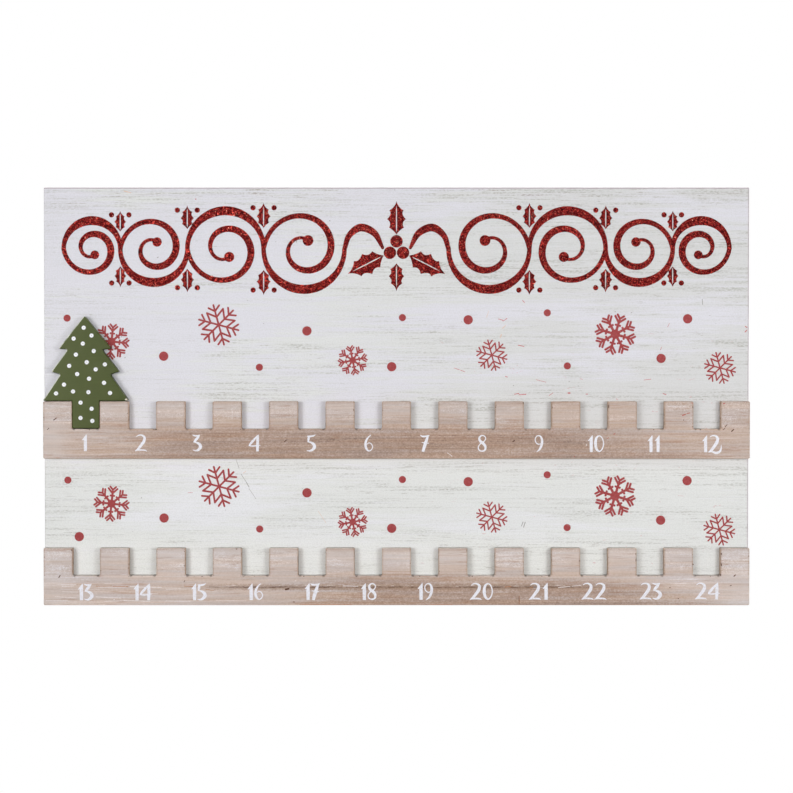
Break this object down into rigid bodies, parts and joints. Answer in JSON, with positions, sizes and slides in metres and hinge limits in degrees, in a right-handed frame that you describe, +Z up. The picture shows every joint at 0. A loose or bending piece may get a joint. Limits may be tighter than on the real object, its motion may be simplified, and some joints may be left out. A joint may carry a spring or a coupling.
{
  "type": "christmas countdown board",
  "caption": "Wide wall board with stacked notched wooden rails on its face and a flat tree-shaped marker that lifts out of one notch and drops into the next.",
  "frame": {"origin": "the hanging point: on the wall plane, midway between the saw-tooth hangers, at the height where their teeth rest on the nails", "axes": "+X along the board to the right of someone facing it, +Y back into the wall, +Z up; the printed face looks along -Y"},
  "size_m": [0.61, 0.0226, 0.361],
  "materials": {
    "whitewashed_panel": "whitewashed, matt print",
    "limed_wood": "limed, open grain, matt",
    "green_paint": "satin green paint",
    "zinc_hanger": "zinc plated",
    "steel_nail": "bright",
    "zinc_screw": "yellow zinc",
    "grey_rubber": "matt",
    "red_print": "printed ink",
    "red_glitter": "glitter",
    "white_print": "printed ink"
  },
  "bodies": {
    "board": {"face_panel": "whitewashed_panel", "upper_rail": "limed_wood", "lower_rail": "limed_wood", "hanger_left": "zinc_hanger", "hanger_right": "zinc_hanger", "bumper_left": "grey_rubber", "bumper_right": "grey_rubber", "hanger_left_nail_1": "steel_nail", "hanger_left_nail_2": "steel_nail", "hanger_right_nail_1": "steel_nail", "hanger_right_nail_2": "steel_nail", "upper_rail_screw_1": "zinc_screw", "upper_rail_screw_2": "zinc_screw", "upper_rail_screw_3": "zinc_screw", "upper_rail_screw_4": "zinc_screw", "upper_rail_screw_5": "zinc_screw", "lower_rail_screw_1": "zinc_screw", "lower_rail_screw_2": "zinc_screw", "lower_rail_screw_3": "zinc_screw", "lower_rail_screw_4": "zinc_screw", "lower_rail_screw_5": "zinc_screw"},
    "marker": {"tree_marker": "green_paint"}
  },
  "joints": [
    {"name": "marker_lift", "type": "slide", "parent": "board", "child": "marker", "axis": [0, 0, 1], "range_m": [0, 0.03]}
  ]
}
